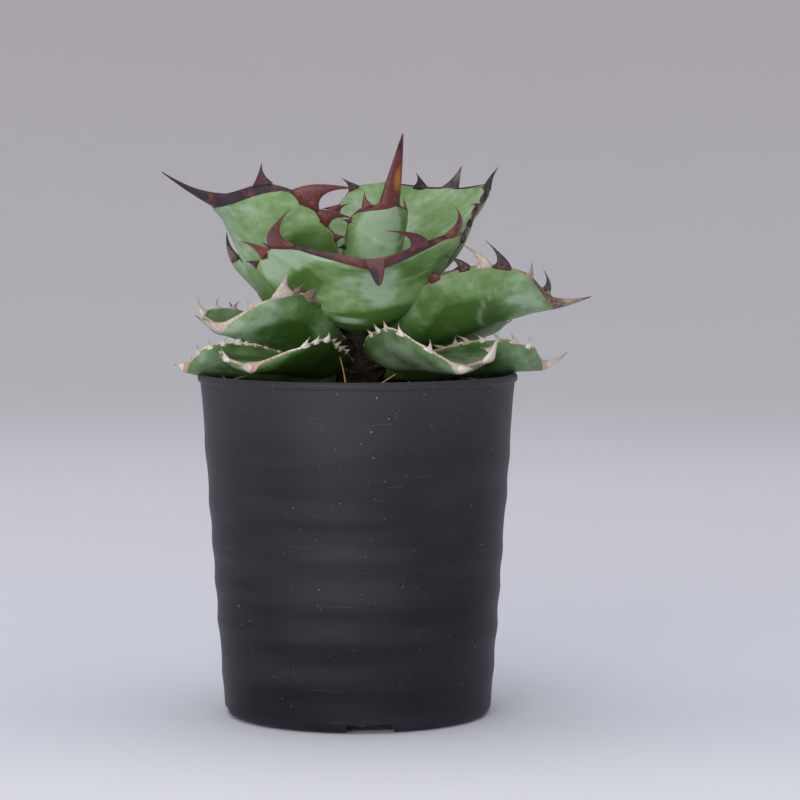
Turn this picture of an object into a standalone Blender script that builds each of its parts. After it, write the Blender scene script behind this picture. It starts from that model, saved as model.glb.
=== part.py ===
"""A young agave with broad, cupped, toothed leaves in a soft plastic nursery pot.

The origin is on the pot's axis, on the surface that the pot stands on. +Z is up and -Y is the front.
Every leaf is one closed solid with its own teeth and end spine, seated on the short stem.
Run it with blender --background --python part.py, or from Blender's text editor.
"""
import math

import bmesh
import bpy
from mathutils import Matrix, Vector

MM = 0.001
GAP = 0.3 * MM  # left between any two pieces that touch

# The pot: a tapered shell with a lip at the rim and drain notches at the foot.
POT_HEIGHT = 112 * MM
POT_TOP_RADIUS = 52.5 * MM
POT_BOTTOM_RADIUS = 44.5 * MM
POT_WALL = 1.2 * MM
POT_FLOOR = 1.6 * MM
POT_CORNER = 3.5 * MM
LIP_HEIGHT = 2.6 * MM
LIP_WIDTH = 0.7 * MM
POT_SEGMENTS = 48
NOTCH_COUNT = 4
NOTCH_WIDTH = 17 * MM
NOTCH_HEIGHT = 3 * MM
NOTCH_DEPTH = 9 * MM
NOTCH_SLOPE = 1.2 * MM
NOTCH_TURN = math.radians(6)

# The soil fills the pot nearly to the rim and dips towards the stem, where watering has washed it down.
SOIL_BELOW_RIM = 2.2 * MM
SOIL_DIP = 3.0 * MM
SOIL_SEGMENTS = 48
SOIL_RINGS = 5
SOIL_LUMP = 0.3 * MM

# The stem: a short tapered stump. Its foot stands in a socket in the soil.
STEM_ROOT_DEPTH = 16 * MM
STEM_BOTTOM_RADIUS = 8.5 * MM
STEM_TOP_RADIUS = 4.6 * MM
STEM_SEGMENTS = 20

# The bud: the closed cone of young leaves on top of the stem.
BUD_HEIGHT = 24 * MM
BUD_RADIUS = 4.2 * MM
BUD_SEGMENTS = 12

# Leaves. The youngest starts just below the stem's top and each older one starts a step lower. Three steps
# clear one leaf's base, because the next leaf but two may stand right above it.
LEAF_BELOW_STEM_TOP = 2.0 * MM
LEAF_BASE_CLEARANCE = 0.1 * MM
LOWEST_LEAF_ABOVE_SOIL = 0.6 * MM
LEAF_BASE_WIDTH = 9.6 * MM
LEAF_TIP_WIDTH = 7.0 * MM
LEAF_BASE_THICKNESS = 3.8 * MM
LEAF_MID_THICKNESS = 5.6 * MM
LEAF_TIP_THICKNESS = 3.6 * MM
LEAF_EDGE_THICKNESS = 1.3 * MM
LEAF_FACE_SHARE = 0.4  # of the thickness, on the upper side of the leaf's own line
THICKEST_PLACE = 0.3  # along the blade
NARROWING_PLACE = 0.93  # along the blade, where it starts to close onto its spine
CUP_AT_BASE = 0.35  # of the leaf's greatest cup
CUP_PEAK_PLACE = 0.6  # along the blade
CUP_LAST_PLACE = 0.9  # along the blade, past which the cup stays as it is
FLATTEST_CUP = 0.02  # radians, so that a flat section has no division by zero
SPINE_POINT_RADIUS = 0.25 * MM
SPINE_HOLLOW = 1.5  # 1 makes the spine a straight cone, and more makes it slimmer towards its point
TOOTH_LEAN = 0.35  # how far a tooth leans towards the leaf's tip, as a share of its height
TOOTHLESS_STATIONS = 3  # at the leaf's base
TIP_TURN_PLACE = 0.8  # along the blade, where the tip starts its own turn
BLADE_STATIONS = 13
SPINE_STATIONS = 3
SECTION_PLACES = (-1.0, -0.55, 0.0, 0.55, 1.0)  # across the blade, from edge to edge

# The blade's half width along its length: places, and shares of the way from base to greatest width.
OUTLINE = [(0.0, 0.0), (0.12, 0.10), (0.34, 0.56), (0.60, 0.95), (0.80, 0.96), (0.92, 0.68), (1.0, 0.25)]

# One row for each leaf, youngest first. Degrees: azimuth from +X, pitch at the base, and change of pitch
# towards the tip. Millimetres: length and greatest width. Degrees: cup, from the midrib to an edge.
# Millimetres: spine length and tooth height. Degrees: roll about the leaf's own line, and turn of the tip.
LEAVES = [
    ("leaf_inner_front", 316, 75, 2, 35, 29, 46, 23, 3.0, 0, 0),
    ("leaf_inner_left", 147, 62, -4, 38, 38, 44, 7, 3.5, 0, 0),
    ("leaf_upper_right", 50, 46, 0, 57, 72, 47, 10, 4.5, 0, 0),
    ("leaf_upper_left", 205, 32, 28, 55, 56, 50, 24, 5.0, 8, -40),
    ("leaf_front", 277, 31, -6, 49, 66, 42, 8, 6.0, 4, -30),
    ("leaf_back", 96, 36, -4, 44, 32, 33, 9, 4.0, 0, 0),
    ("leaf_left_back", 168, 19, 12, 42, 30, 31, 9, 4.0, 0, 0),
    ("leaf_right", 348, 11, 2, 60, 58, 56, 12, 5.5, -10, -10),
    ("leaf_right_back", 64, 25, -4, 50, 31, 36, 10, 4.5, 0, 0),
    ("leaf_left_front", 213, 9, 3, 46, 48, 48, 9, 4.0, 10, 0),
    ("leaf_back_left", 116, 22, -4, 52, 31, 34, 9, 4.0, 0, 0),
    ("leaf_low_front_right", 312, -5, 1, 44, 41, 42, 6, 3.0, -6, 0),
    ("leaf_back_right", 37, 8.5, 0, 50, 33, 33, 9, 3.5, 0, 0),
    ("leaf_left_mid", 154, 13, 10, 39, 25, 28, 6, 3.0, 0, 0),
    ("leaf_low_front_left", 236, 3, 0, 46, 40, 40, 5, 2.5, 6, 0),
    ("leaf_low_back", 77, 3.5, -2, 50, 30, 27, 6, 3.0, 0, 0),
    ("leaf_low_right", 3, 2, 0, 54, 33, 30, 8, 3.0, 6, 0),
    ("leaf_low_back_left", 128, 5, -2, 50, 30, 24, 6, 3.0, 0, 0),
    ("leaf_lowest_left", 188, 5, 1, 49, 30, 24, 4, 2.5, 4, 0),
]

def material(name, colour, roughness):
    """A Principled material with a plain colour, given as linear red, green and blue."""
    finish = bpy.data.materials.new(name)
    finish.use_nodes = True
    shader = finish.node_tree.nodes["Principled BSDF"]
    shader.inputs["Base Color"].default_value = (*colour, 1.0)
    shader.inputs["Roughness"].default_value = roughness
    shader.inputs["Metallic"].default_value = 0.0
    return finish


def add_object(name, bm, finish):
    """Close the bmesh into an object of its own."""
    bmesh.ops.recalc_face_normals(bm, faces=bm.faces)
    mesh = bpy.data.meshes.new(name)
    bm.to_mesh(mesh)
    bm.free()
    mesh.materials.append(finish)
    mesh.shade_smooth()
    mesh.set_sharp_from_angle(angle=math.radians(40))
    piece = bpy.data.objects.new(name, mesh)
    bpy.context.collection.objects.link(piece)
    return piece


def turned(profile, segments):
    """A bmesh made by turning a profile of (radius, height) points about the Z axis."""
    bm = bmesh.new()
    points = [bm.verts.new((radius, 0.0, height)) for radius, height in profile]
    edges = [bm.edges.new(pair) for pair in zip(points, points[1:])]
    bmesh.ops.spin(
        bm, geom=points + edges, cent=(0, 0, 0), axis=(0, 0, 1), angle=math.tau, steps=segments, use_merge=True
    )
    bmesh.ops.remove_doubles(bm, verts=bm.verts, dist=0.01 * MM)
    return bm


def smooth_between(points, place):
    """The value at a place on a smooth curve through (place, value) points."""
    last = len(points) - 1
    index = 0
    while index < last - 1 and place > points[index + 1][0]:
        index += 1

    def slope(i):
        before, after = points[max(i - 1, 0)], points[min(i + 1, last)]
        return (after[1] - before[1]) / (after[0] - before[0])

    (start, low), (end, high) = points[index], points[index + 1]
    span = end - start
    share = min(max((place - start) / span, 0.0), 1.0)
    square, cube = share * share, share * share * share
    return (
        low * (2 * cube - 3 * square + 1)
        + high * (3 * square - 2 * cube)
        + slope(index) * span * (cube - 2 * square + share)
        + slope(index + 1) * span * (cube - square)
    )


def pot_inner_radius(height):
    """The radius of the pot's inner wall at a height."""
    slope = (POT_TOP_RADIUS - POT_BOTTOM_RADIUS) / POT_HEIGHT
    return POT_BOTTOM_RADIUS + slope * height - LIP_WIDTH - POT_WALL


def stem_radius(height):
    """The stem's radius at a height."""
    foot = SOIL_TOP - STEM_ROOT_DEPTH
    share = (height - foot) / (STEM_TOP - foot)
    return STEM_BOTTOM_RADIUS + (STEM_TOP_RADIUS - STEM_BOTTOM_RADIUS) * share


SOIL_TOP = POT_HEIGHT - SOIL_BELOW_RIM
LEAF_STEP = (LEAF_BASE_THICKNESS + LEAF_BASE_CLEARANCE) / 3
STEM_ABOVE_SOIL = LEAF_BELOW_STEM_TOP + LEAF_STEP * (len(LEAVES) - 1) + LOWEST_LEAF_ABOVE_SOIL
STEM_TOP = SOIL_TOP + STEM_ABOVE_SOIL


def make_pot():
    """The shell turned from one profile, with the drain notches cut through its foot."""
    arc = [math.radians(a) for a in (-90, -60, -30, 0)]
    slope = (POT_TOP_RADIUS - POT_BOTTOM_RADIUS) / POT_HEIGHT
    wall_foot = POT_BOTTOM_RADIUS - LIP_WIDTH
    outer = [(0.0, 0.0)]
    for a in arc:
        outer.append((
            wall_foot - POT_CORNER + POT_CORNER * math.cos(a) + slope * POT_CORNER,
            POT_CORNER + POT_CORNER * math.sin(a),
        ))
    lip_foot = POT_HEIGHT - LIP_HEIGHT
    outer.append((wall_foot + slope * POT_HEIGHT / 2, POT_HEIGHT / 2))
    outer.append((wall_foot + slope * lip_foot, lip_foot))
    rim = [
        (POT_TOP_RADIUS - 0.2 * LIP_WIDTH, lip_foot + LIP_WIDTH),
        (POT_TOP_RADIUS, POT_HEIGHT - LIP_WIDTH),
        (POT_TOP_RADIUS - 0.7 * LIP_WIDTH, POT_HEIGHT),
        (pot_inner_radius(POT_HEIGHT), POT_HEIGHT - 0.3 * LIP_WIDTH),
    ]
    inner = [(pot_inner_radius(POT_HEIGHT / 2), POT_HEIGHT / 2)]
    bend = POT_CORNER - POT_WALL
    for a in reversed(arc):
        inner.append((
            pot_inner_radius(POT_FLOOR + bend) - bend + bend * math.cos(a),
            POT_FLOOR + bend + bend * math.sin(a),
        ))
    inner.append((0.0, POT_FLOOR))
    pot = add_object("pot", turned(outer + rim + inner, POT_SEGMENTS), POT_PLASTIC)

    notches = bmesh.new()
    for number in range(NOTCH_COUNT):
        notch = bmesh.ops.create_cube(notches, size=1.0)["verts"]
        reach = NOTCH_DEPTH + POT_CORNER
        bmesh.ops.scale(notches, vec=(reach, NOTCH_WIDTH, 2 * NOTCH_HEIGHT), verts=notch)
        for vert in notch:
            if vert.co.z > 0:
                vert.co.y -= math.copysign(NOTCH_SLOPE, vert.co.y)
        middle = POT_BOTTOM_RADIUS - NOTCH_DEPTH + reach / 2
        bmesh.ops.translate(notches, vec=(middle, 0, 0), verts=notch)
        turn = Matrix.Rotation(math.tau * number / NOTCH_COUNT + NOTCH_TURN, 3, "Z")
        bmesh.ops.rotate(notches, cent=(0, 0, 0), matrix=turn, verts=notch)
    cutter = add_object("pot_notches", notches, POT_PLASTIC)
    cutter.hide_render = True
    cutter.display_type = "WIRE"
    cut = pot.modifiers.new("notches", "BOOLEAN")
    cut.operation = "DIFFERENCE"
    cut.object = cutter


def make_soil():
    """The root ball and potting mix: it follows the pot's inner wall and has a socket for the stem."""
    corner = POT_CORNER - POT_WALL
    floor = POT_FLOOR + GAP
    socket_radius = stem_radius(SOIL_TOP - STEM_ROOT_DEPTH) + GAP
    edge = pot_inner_radius(SOIL_TOP) - GAP
    profile = [
        (0.0, floor),
        (pot_inner_radius(floor) - corner - GAP, floor),
        (pot_inner_radius(floor + corner) - GAP, floor + corner),
        (edge, SOIL_TOP),
    ]
    for ring in range(1, SOIL_RINGS + 1):
        share = ring / SOIL_RINGS
        profile.append((edge + (socket_radius - edge) * share, SOIL_TOP - SOIL_DIP * share))
    profile.append((socket_radius, SOIL_TOP - STEM_ROOT_DEPTH))
    profile.append((0.0, SOIL_TOP - STEM_ROOT_DEPTH))
    bm = turned(profile, SOIL_SEGMENTS)
    for vert in bm.verts:
        radius = vert.co.xy.length
        if vert.co.z > SOIL_TOP - SOIL_DIP - GAP and socket_radius + GAP < radius < edge - GAP:
            wave = math.sin(vert.co.x / (5 * MM) + 1) + math.sin(vert.co.y / (4 * MM))
            vert.co.z += SOIL_LUMP * wave
    add_object("soil", bm, SOIL)


def make_stem():
    """The stump that carries the leaves."""
    foot = SOIL_TOP - STEM_ROOT_DEPTH + GAP
    profile = [
        (0.0, foot),
        (stem_radius(foot), foot),
        (stem_radius(STEM_TOP), STEM_TOP),
        (0.0, STEM_TOP),
    ]
    add_object("stem", turned(profile, STEM_SEGMENTS), STEM_SKIN)


def make_bud():
    """The cone of unopened leaves, drawn out to a point."""
    foot = STEM_TOP + GAP
    profile = [
        (0.0, foot),
        (0.75 * BUD_RADIUS, foot),
        (BUD_RADIUS, foot + 0.25 * BUD_HEIGHT),
        (0.8 * BUD_RADIUS, foot + 0.5 * BUD_HEIGHT),
        (0.36 * BUD_RADIUS, foot + 0.76 * BUD_HEIGHT),
        (SPINE_POINT_RADIUS, foot + BUD_HEIGHT),
        (0.0, foot + BUD_HEIGHT),
    ]
    add_object("bud", turned(profile, BUD_SEGMENTS), LEAF_SKIN)


def centre_line(start, azimuth, pitch, bend, tip_turn, length, places):
    """Points along a leaf that bends evenly, and more at its tip, each with the directions along the leaf
    and out of its face."""

    def angle_at(place):
        turned_share = min(max(place - TIP_TURN_PLACE, 0.0) / (1 - TIP_TURN_PLACE), 1.0)
        return pitch + bend * place + tip_turn * turned_share

    away = Vector((math.cos(azimuth), math.sin(azimuth), 0.0))
    high = Vector((0.0, 0.0, 1.0))
    point = start.copy()
    line = []
    last = 0.0
    for place in places:
        angle = angle_at((place + last) / 2)
        point = point + (place - last) * length * (math.cos(angle) * away + math.sin(angle) * high)
        angle = angle_at(place)
        along = math.cos(angle) * away + math.sin(angle) * high
        over = math.cos(angle) * high - math.sin(angle) * away
        line.append((point.copy(), along, over))
        last = place
    return line


def blade_section(place, width, cup):
    """The blade's half width, its thickness at the midrib and at the edges, and its cup, at a place."""
    base = LEAF_BASE_WIDTH / 2
    half = base + (width / 2 - base) * smooth_between(OUTLINE, place)
    closing = max(place - NARROWING_PLACE, 0.0) / (1 - NARROWING_PLACE)
    half += (LEAF_TIP_WIDTH / 2 - half) * closing
    middle = LEAF_BASE_THICKNESS
    middle += (LEAF_MID_THICKNESS - LEAF_BASE_THICKNESS) * min(place / THICKEST_PLACE, 1.0)
    thinning = max(place - THICKEST_PLACE, 0.0) / (1 - THICKEST_PLACE)
    middle += (LEAF_TIP_THICKNESS - LEAF_MID_THICKNESS) * thinning
    swell = math.sin(math.pi / 2 * min(place, CUP_LAST_PLACE) / CUP_PEAK_PLACE)
    bent = cup * (CUP_AT_BASE + (1 - CUP_AT_BASE) * swell)
    return half, middle, LEAF_EDGE_THICKNESS, bent


def spine_section(beyond, cup):
    """The same four values along the end spine, from 0 at its foot to 1 at its point."""
    _, _, _, bent = blade_section(1.0, LEAF_TIP_WIDTH, cup)
    taper = (1 - beyond) ** SPINE_HOLLOW
    point = SPINE_POINT_RADIUS
    half = point + (LEAF_TIP_WIDTH / 2 - point) * taper
    middle = 2 * point + (LEAF_TIP_THICKNESS - 2 * point) * taper
    edge = point + (LEAF_EDGE_THICKNESS - point) * taper
    return half, middle, edge, max(bent * (1 - beyond), FLATTEST_CUP)


def section_ring(bm, frame, section, teeth):
    """One ring of vertices around the leaf: over its face and back under it, with a tooth at an edge."""
    point, along, side, up = frame
    half, middle, edge, bent = section
    ring = []
    faces = ((LEAF_FACE_SHARE, SECTION_PLACES), (LEAF_FACE_SHARE - 1, SECTION_PLACES[::-1]))
    for share, places in faces:
        for across in places:
            turn = bent * across
            offset = (edge + (middle - edge) * (1 - across * across)) * share
            out = half * math.sin(turn) / bent - math.sin(turn) * offset
            rise = half * (1 - math.cos(turn)) / bent + math.cos(turn) * offset
            tooth = teeth.get(across, 0.0)
            out += math.copysign(math.cos(turn), across) * tooth
            rise += abs(math.sin(turn)) * tooth
            ring.append(bm.verts.new(point + side * out + up * rise + along * (TOOTH_LEAN * tooth)))
    return ring


def make_leaf(number, name, azimuth, pitch, bend, length, width, cup, spine, tooth, roll, tip_turn):
    """One leaf: a closed loft from its base, through the toothed blade, to the point of its spine."""
    azimuth, pitch, bend, cup, roll, tip_turn = (
        math.radians(angle) for angle in (azimuth, pitch, bend, cup, roll, tip_turn)
    )
    length, width, spine, tooth = (size * MM for size in (length, width, spine, tooth))
    height = STEM_TOP - LEAF_BELOW_STEM_TOP - LEAF_STEP * number
    foot_radius = stem_radius(height - LEAF_BASE_THICKNESS / 2)
    reach = foot_radius + GAP + LEAF_FACE_SHARE * LEAF_BASE_THICKNESS * math.sin(pitch)
    start = Vector((math.cos(azimuth) * reach, math.sin(azimuth) * reach, height))
    level = Vector((-math.sin(azimuth), math.cos(azimuth), 0.0))

    blade = [i / (BLADE_STATIONS - 1) for i in range(BLADE_STATIONS)]
    tip = [(i + 1) / SPINE_STATIONS for i in range(SPINE_STATIONS)]
    sections = [blade_section(place, width, cup) for place in blade]
    sections += [spine_section(beyond, cup) for beyond in tip]
    places = blade + [1 + beyond * spine / length for beyond in tip]
    bm = bmesh.new()
    rings = []
    line = centre_line(start, azimuth, pitch, bend, tip_turn, length, places)
    for index, (point, along, over) in enumerate(line):
        side = math.cos(roll) * level + math.sin(roll) * over
        up = math.cos(roll) * over - math.sin(roll) * level
        toothed = TOOTHLESS_STATIONS < index < BLADE_STATIONS - 1
        teeth = {(-1.0, 1.0)[index % 2]: tooth} if toothed else {}
        rings.append(section_ring(bm, (point, along, side, up), sections[index], teeth))
    for ring, after in zip(rings, rings[1:]):
        for i in range(len(ring)):
            j = (i + 1) % len(ring)
            bm.faces.new((ring[i], ring[j], after[j], after[i]))
    bm.faces.new(rings[0])
    bm.faces.new(rings[-1])
    add_object(name, bm, LEAF_SKIN)


for leftover in list(bpy.data.objects):
    bpy.data.objects.remove(leftover, do_unlink=True)

POT_PLASTIC = material("pot_plastic", (0.018, 0.019, 0.022), 0.45)
SOIL = material("potting_mix", (0.035, 0.024, 0.016), 0.95)
STEM_SKIN = material("stem_skin", (0.30, 0.33, 0.18), 0.6)
LEAF_SKIN = material("leaf_skin", (0.13, 0.24, 0.12), 0.5)

make_pot()
make_soil()
make_stem()
make_bud()
for number, row in enumerate(LEAVES):
    make_leaf(number, *row)
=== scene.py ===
# %% [markdown]
# # A young agave in a soft plastic nursery pot
# The plant is a short stem with nineteen broad, cupped leaves. Each leaf has a horny margin, curved
# teeth and an end spine. It stands in damp potting mix in a tapered pot of thin, soft plastic.
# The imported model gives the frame: every piece made here lies where its plain solid lies.

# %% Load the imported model
import math
import random

import bmesh
import bpy
from mathutils import Matrix, Vector, noise


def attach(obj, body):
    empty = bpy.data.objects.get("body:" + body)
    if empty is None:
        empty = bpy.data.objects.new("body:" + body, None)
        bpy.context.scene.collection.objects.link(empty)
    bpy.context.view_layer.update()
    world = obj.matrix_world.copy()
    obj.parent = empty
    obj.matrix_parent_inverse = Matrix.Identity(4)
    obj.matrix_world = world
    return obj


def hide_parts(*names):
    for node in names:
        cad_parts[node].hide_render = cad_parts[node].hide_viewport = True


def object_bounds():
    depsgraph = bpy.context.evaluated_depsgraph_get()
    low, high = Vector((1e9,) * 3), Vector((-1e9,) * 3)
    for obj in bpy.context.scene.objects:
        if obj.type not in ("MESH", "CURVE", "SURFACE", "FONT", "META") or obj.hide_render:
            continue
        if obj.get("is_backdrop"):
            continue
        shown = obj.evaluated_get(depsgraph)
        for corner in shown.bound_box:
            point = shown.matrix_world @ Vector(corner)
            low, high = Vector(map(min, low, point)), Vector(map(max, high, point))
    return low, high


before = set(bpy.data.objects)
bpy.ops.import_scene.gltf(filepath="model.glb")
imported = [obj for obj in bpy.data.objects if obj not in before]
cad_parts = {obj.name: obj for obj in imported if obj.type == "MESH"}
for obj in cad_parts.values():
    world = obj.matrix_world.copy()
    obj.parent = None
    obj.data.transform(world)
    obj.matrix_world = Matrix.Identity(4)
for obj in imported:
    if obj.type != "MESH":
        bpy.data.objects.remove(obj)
CAD_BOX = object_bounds()
MM = 0.001
print("nodes:", len(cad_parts), "box in mm:", [round(v / MM, 1) for v in CAD_BOX[1] - CAD_BOX[0]])

# %% [markdown]
# # The camera
# A small pot is seen best from a little above its rim with a long lens, because a long lens keeps the
# pot's sides nearly straight. A short lens close by would swell the front leaves.

# %% Camera
camera = bpy.data.objects.new("camera", bpy.data.cameras.new("camera"))
bpy.context.collection.objects.link(camera)
camera.location = (0.0139, -0.970, 0.1693)
camera.rotation_euler = (math.radians(90 - 3.9), 0.0, 0.0)
camera.data.sensor_width = 36.0
camera.data.lens = 133.1
bpy.context.scene.camera = camera

# %% [markdown]
# # Floor and light
# The plant stands in a plain studio: a pale floor that sweeps up all round, so there is no corner to
# see from any side. It could be a flat plane and a wall, but a turned bowl has no seam. Its colour is
# painted slowly darker with distance, as painted shade where the light falls off. One wide soft light
# hangs overhead, another stands in front, and the sky fills the shadows.


# %% Helpers for materials
def colour(code):
    """A linear colour from an sRGB hex value."""
    parts = [int(code[i : i + 2], 16) / 255 for i in (1, 3, 5)]
    return tuple(p / 12.92 if p <= 0.04045 else ((p + 0.055) / 1.055) ** 2.4 for p in parts) + (1.0,)


def new_material(name):
    """An empty material, with its tree and its Principled shader."""
    made = bpy.data.materials.new(name)
    made.use_nodes = True
    return made, made.node_tree, made.node_tree.nodes["Principled BSDF"]


def add(tree, kind, inputs=(), output=0, stops=(), **settings):
    """Adds one shader node with its settings and links, and gives one of its outputs.

    An input is a number, a vector, an sRGB hex value or another node's output. Stops fill a colour ramp.
    """
    made = tree.nodes.new("ShaderNode" + kind)
    for setting, value in settings.items():
        setattr(made, setting, value)
    for socket, value in inputs.items() if isinstance(inputs, dict) else enumerate(inputs):
        if isinstance(value, bpy.types.NodeSocket):
            tree.links.new(value, made.inputs[socket])
        else:
            made.inputs[socket].default_value = colour(value) if isinstance(value, str) else value
    for index, (at, code) in enumerate(stops):
        points = made.color_ramp.elements
        point = points[index] if index < len(points) else points.new(at)
        point.position, point.color = at, colour(code)
    return made.outputs[output]


# %% Studio floor
# In metres: the floor's radius, the radius of its upward curve, the wall's height, and how far off the
# painted shade of the falling light has darkened the colour all the way.
STUDIO_RADIUS, COVE, WALL_TOP = 2.6, 1.0, 3.0
PAINTED_FALLOFF_REACH = 3.4


def studio():
    """A round floor whose edge curves up into a wall."""
    bm = bmesh.new()
    points = [(0.02, 0.0), (0.5, 0.0), (1.2, 0.0), (STUDIO_RADIUS - COVE, 0.0)]
    for step in range(1, 13):
        turn = math.radians(7.5 * step)
        points.append((STUDIO_RADIUS - COVE + COVE * math.sin(turn), COVE - COVE * math.cos(turn)))
    points.append((STUDIO_RADIUS, WALL_TOP))
    profile = [bm.verts.new((r, 0.0, z)) for r, z in points]
    edges = [bm.edges.new(pair) for pair in zip(profile, profile[1:])]
    bmesh.ops.spin(
        bm, geom=profile + edges, cent=(0, 0, 0), axis=(0, 0, 1), angle=math.tau, steps=96, use_merge=True
    )
    bmesh.ops.holes_fill(bm, edges=[e for e in bm.edges if e.is_boundary and e.verts[0].co.z < 0.1], sides=0)
    mesh = bpy.data.meshes.new("studio_floor")
    bm.to_mesh(mesh)
    for face in mesh.polygons:
        face.use_smooth = True
    made = bpy.data.objects.new("studio_floor", mesh)
    bpy.context.collection.objects.link(made)
    made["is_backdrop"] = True
    return made


floor = studio()
floor_paint, tree, shader = new_material("matt_studio_card")
where = add(tree, "TexCoord", output="Object")
nearer = add(tree, "VectorMath", (where, (0.0, -0.4, 0.0)), operation="SUBTRACT")
reach = add(tree, "VectorMath", (nearer,), output="Value", operation="LENGTH")
# Painted shade: the card grows darker with distance, standing in for light that falls off.
painted_falloff = add(
    tree, "ValToRGB", (add(tree, "Math", (reach, PAINTED_FALLOFF_REACH), operation="DIVIDE"),),
    stops=[(0.06, "#f4f5fb"), (0.13, "#e2e5ee"), (0.30, "#e6e7ee"), (0.55, "#dedee2"), (0.95, "#cdc6c8")],
)
painted_falloff.node.color_ramp.interpolation = "EASE"
tree.links.new(painted_falloff, shader.inputs["Base Color"])
shader.inputs["Roughness"].default_value = 0.9
shader.inputs["Specular IOR Level"].default_value = 0.2
floor.data.materials.append(floor_paint)

# %% Lights
world = bpy.data.worlds.new("soft_sky")
bpy.context.scene.world = world
world.use_nodes = True
world.node_tree.nodes["Background"].inputs["Color"].default_value = colour("#eaeef3")
world.node_tree.nodes["Background"].inputs["Strength"].default_value = 0.86
bpy.context.scene.view_settings.view_transform = "Standard"


def soft_light(name, place, size, watts, tint):
    """A square area light that looks at the plant."""
    data = bpy.data.lights.new(name, "AREA")
    data.size = size
    data.energy = watts
    data.color = colour(tint)[:3]
    made = bpy.data.objects.new(name, data)
    made.location = place
    made.rotation_euler = (Vector((0, 0, 0.12)) - made.location).to_track_quat("-Z", "Y").to_euler()
    bpy.context.collection.objects.link(made)


soft_light("overhead", (-0.2, 0.1, 1.7), 1.9, 7.5, "#ffffff")
soft_light("front_fill", (-0.5, -1.6, 0.1), 1.4, 28.0, "#ffffff")

# %% [markdown]
# # How every closed shape is made
# Leaves, teeth, roots and straws are all tubes whose section changes on the way. A skinned curve could
# make them, but a leaf's section is a crescent, not a circle. So one function lays a grid round and
# along, puts each of its points where the piece says, joins the seam and closes both ends.


# %% Lofted tubes
def loft(bm, around, along, place, layers=()):
    """A closed tube from a grid. place(turn, share) gives a point and a value for each layer."""
    grid = bmesh.ops.create_grid(bm, x_segments=around, y_segments=along, size=0.5)["verts"]
    seam = []
    for vert in grid:
        turn, share = vert.co.x + 0.5, vert.co.y + 0.5
        if turn < 1e-4 or turn > 1 - 1e-4:
            seam.append(vert)
            turn = 0.0
        point, values = place(turn, min(max(share, 0.0), 1.0))
        vert.co = point
        for layer, value in zip(layers, values):
            vert[layer] = value
    bmesh.ops.remove_doubles(bm, verts=seam, dist=1e-8)
    bmesh.ops.holes_fill(bm, edges=[e for e in bm.edges if e.is_boundary], sides=0)


def smooth_between(points, place):
    """The value at a place on a smooth curve through (place, value) points."""
    last = len(points) - 1
    index = 0
    while index < last - 1 and place > points[index + 1][0]:
        index += 1

    def slope(i):
        before, after = points[max(i - 1, 0)], points[min(i + 1, last)]
        return (after[1] - before[1]) / (after[0] - before[0])

    (start, low), (end, high) = points[index], points[index + 1]
    span = end - start
    share = min(max((place - start) / span, 0.0), 1.0)
    square, cube = share * share, share * share * share
    return (
        low * (2 * cube - 3 * square + 1)
        + high * (3 * square - 2 * cube)
        + slope(index) * span * (cube - 2 * square + share)
        + slope(index + 1) * span * (cube - square)
    )


def finished(name, bm, material, slot, *nodes):
    """Links the mesh as a smooth piece on the root body, which stands for the CAD nodes named."""
    bmesh.ops.recalc_face_normals(bm, faces=bm.faces)
    for face in bm.faces:
        face.smooth = True
    mesh = bpy.data.meshes.new(name)
    bm.to_mesh(mesh)
    bm.free()
    made = bpy.data.objects.new(name, mesh)
    bpy.context.collection.objects.link(made)
    mesh.materials.append(material)
    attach(made, "root")
    if nodes:
        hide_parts(*nodes)
    print(name, len(mesh.polygons), "faces")
    return made


# %% [markdown]
# # The leaf's own sizes
# A leaf is a centre line that starts at the stem, a width and a thickness that change along it, and a
# cup that bends the section into a trough. The plain solids follow the same rules with nearly the same
# sizes, so each fine leaf lies where its plain one does. The fine blades are fuller low down, where
# neighbours press on each other.

# %% Sizes of the leaves
SOIL_TOP = 109.8 * MM
STEM_TOP = 135.8 * MM
STEM_FOOT = SOIL_TOP - 16 * MM
STEM_RADII = (8.5 * MM, 4.6 * MM)
GAP = 0.3 * MM
LEAF_STEP = 1.3 * MM
LEAF_BELOW_STEM_TOP = 2.0 * MM
BASE_WIDTH, TIP_WIDTH = 9.6 * MM, 7.0 * MM
BASE_THICK, MID_THICK, TIP_THICK, EDGE_THICK = 3.8 * MM, 5.6 * MM, 3.6 * MM, 1.3 * MM
FACE_SHARE = 0.4
LINE_STEPS = 160
OUTLINE = [(0.0, 0.0), (0.12, 0.22), (0.34, 0.76), (0.60, 1.0), (0.80, 0.96), (0.92, 0.68), (1.0, 0.25)]
TIP_TURN_PLACE = 0.8
THICKEST_PLACE = 0.3
FULLER_PLACE, FULLER_SPREAD = 0.4, 0.17
NARROWS_FROM = 0.93
SPINE_POINT = 0.16 * MM

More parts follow.
